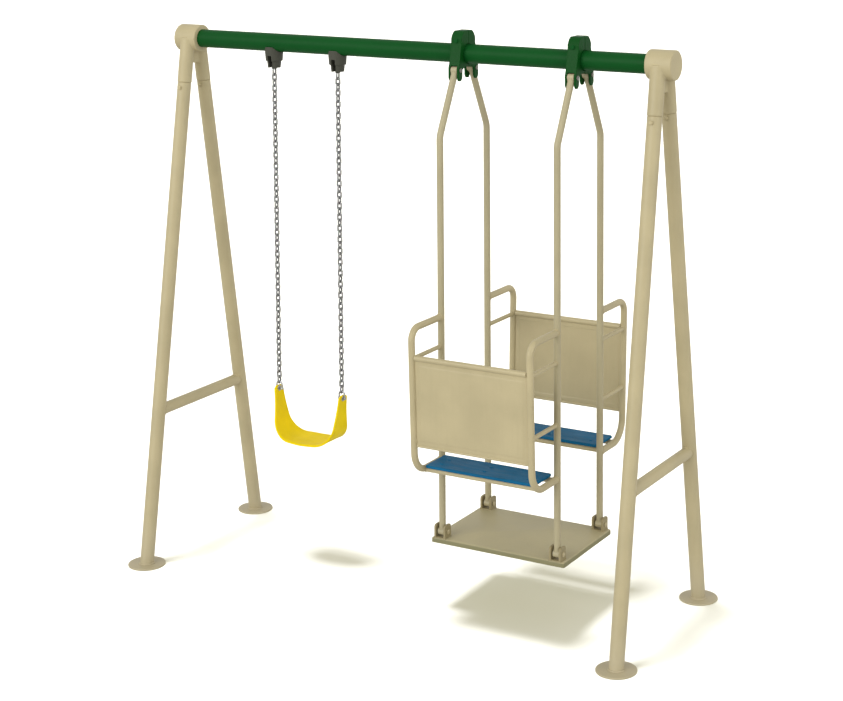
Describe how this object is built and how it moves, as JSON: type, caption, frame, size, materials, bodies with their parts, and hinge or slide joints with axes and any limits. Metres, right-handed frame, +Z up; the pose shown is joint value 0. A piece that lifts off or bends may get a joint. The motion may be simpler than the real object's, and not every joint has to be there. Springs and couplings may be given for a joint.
{
  "type": "glider swing",
  "caption": "Outdoor play frame: a face-to-face glider with backrests and a foot platform, and a belt swing on chains, both hung under one round beam between leaning A-frames.",
  "frame": {"origin": "on the ground, below the middle of the beam, in the plane of the beam's axis", "axes": "+X along the beam towards the glider, -Y the front, +Z up"},
  "size_m": [2.46, 0.956, 2.396],
  "materials": {
    "beige_powder_coat": "satin powder coat, beige",
    "green_powder_coat": "satin powder coat, dark green",
    "blue_board": "fine-grained moulded board, blue",
    "yellow_rubber": "smooth flexible belt, yellow",
    "black_paint": "matt paint over a casting, black",
    "zinc_steel": "zinc plating, slightly dull"
  },
  "bodies": {
    "frame": {"beam": "green_powder_coat", "corner_casting_left": "beige_powder_coat", "corner_casting_right": "beige_powder_coat", "leg_front_left": "beige_powder_coat", "leg_front_right": "beige_powder_coat", "leg_rear_left": "beige_powder_coat", "leg_rear_right": "beige_powder_coat", "foot_plate_front_left": "beige_powder_coat", "foot_plate_front_right": "beige_powder_coat", "foot_plate_rear_left": "beige_powder_coat", "foot_plate_rear_right": "beige_powder_coat", "leg_bolt_front_left": "beige_powder_coat", "leg_bolt_front_right": "beige_powder_coat", "leg_bolt_rear_left": "beige_powder_coat", "leg_bolt_rear_right": "beige_powder_coat", "cross_brace_left": "beige_powder_coat", "cross_brace_right": "beige_powder_coat", "clamp_left_front_half": "green_powder_coat", "clamp_right_front_half": "green_powder_coat", "clamp_left_rear_half": "green_powder_coat", "clamp_right_rear_half": "green_powder_coat", "clamp_bolt_left": "green_powder_coat", "clamp_bolt_right": "green_powder_coat", "swing_hanger_left": "black_paint", "swing_hanger_right": "black_paint", "hanger_pin_left": "zinc_steel", "hanger_pin_right": "zinc_steel"},
    "front_hanger": {"glider_rod_front_left": "beige_powder_coat", "seat_arm_front_left": "beige_powder_coat", "top_pin_front_left": "zinc_steel", "bottom_pin_front_left": "zinc_steel", "glider_rod_front_right": "beige_powder_coat", "seat_arm_front_right": "beige_powder_coat", "top_pin_front_right": "zinc_steel", "bottom_pin_front_right": "zinc_steel", "backrest_front": "beige_powder_coat", "seat_rails_front": "beige_powder_coat", "seat_board_front": "blue_board"},
    "rear_hanger": {"glider_rod_rear_left": "beige_powder_coat", "seat_arm_rear_left": "beige_powder_coat", "top_pin_rear_left": "zinc_steel", "bottom_pin_rear_left": "zinc_steel", "glider_rod_rear_right": "beige_powder_coat", "seat_arm_rear_right": "beige_powder_coat", "top_pin_rear_right": "zinc_steel", "bottom_pin_rear_right": "zinc_steel", "backrest_rear": "beige_powder_coat", "seat_rails_rear": "beige_powder_coat", "seat_board_rear": "blue_board"},
    "platform": {"platform_deck": "beige_powder_coat", "clevis_front_left": "beige_powder_coat", "clevis_front_right": "beige_powder_coat", "clevis_rear_left": "beige_powder_coat", "clevis_rear_right": "beige_powder_coat"},
    "belt_chains": {"swing_yoke_left": "black_paint", "swing_yoke_right": "black_paint", "swing_chain_left": "zinc_steel", "swing_chain_right": "zinc_steel"},
    "belt_seat": {"belt_seat": "yellow_rubber"}
  },
  "joints": [
    {"name": "glider_front", "type": "hinge", "parent": "frame", "child": "front_hanger", "pos_m": [0.518, -0.065, 2.236], "axis": [1, 0, 0], "range_deg": [-20, 20]},
    {"name": "glider_rear", "type": "hinge", "parent": "frame", "child": "rear_hanger", "pos_m": [0.518, 0.065, 2.236], "axis": [1, 0, 0], "range_deg": [-20.2, 20.2]},
    {"name": "platform_tilt", "type": "hinge", "parent": "front_hanger", "child": "platform", "pos_m": [0.518, -0.191, 0.33], "axis": [1, 0, 0], "range_deg": [-7, 7]},
    {"name": "belt_swing", "type": "hinge", "parent": "frame", "child": "belt_chains", "pos_m": [-0.5395, 0, 2.222], "axis": [1, 0, 0], "range_deg": [-45, 45]},
    {"name": "belt_tilt", "type": "hinge", "parent": "belt_chains", "child": "belt_seat", "pos_m": [-0.5395, 0, 0.755], "axis": [1, 0, 0], "range_deg": [-30, 30]}
  ],
  "couplings": [
    {"joint": "glider_rear", "follows": "glider_front", "ratio": 1},
    {"joint": "platform_tilt", "follows": "glider_front", "ratio": -0.3403}
  ]
}
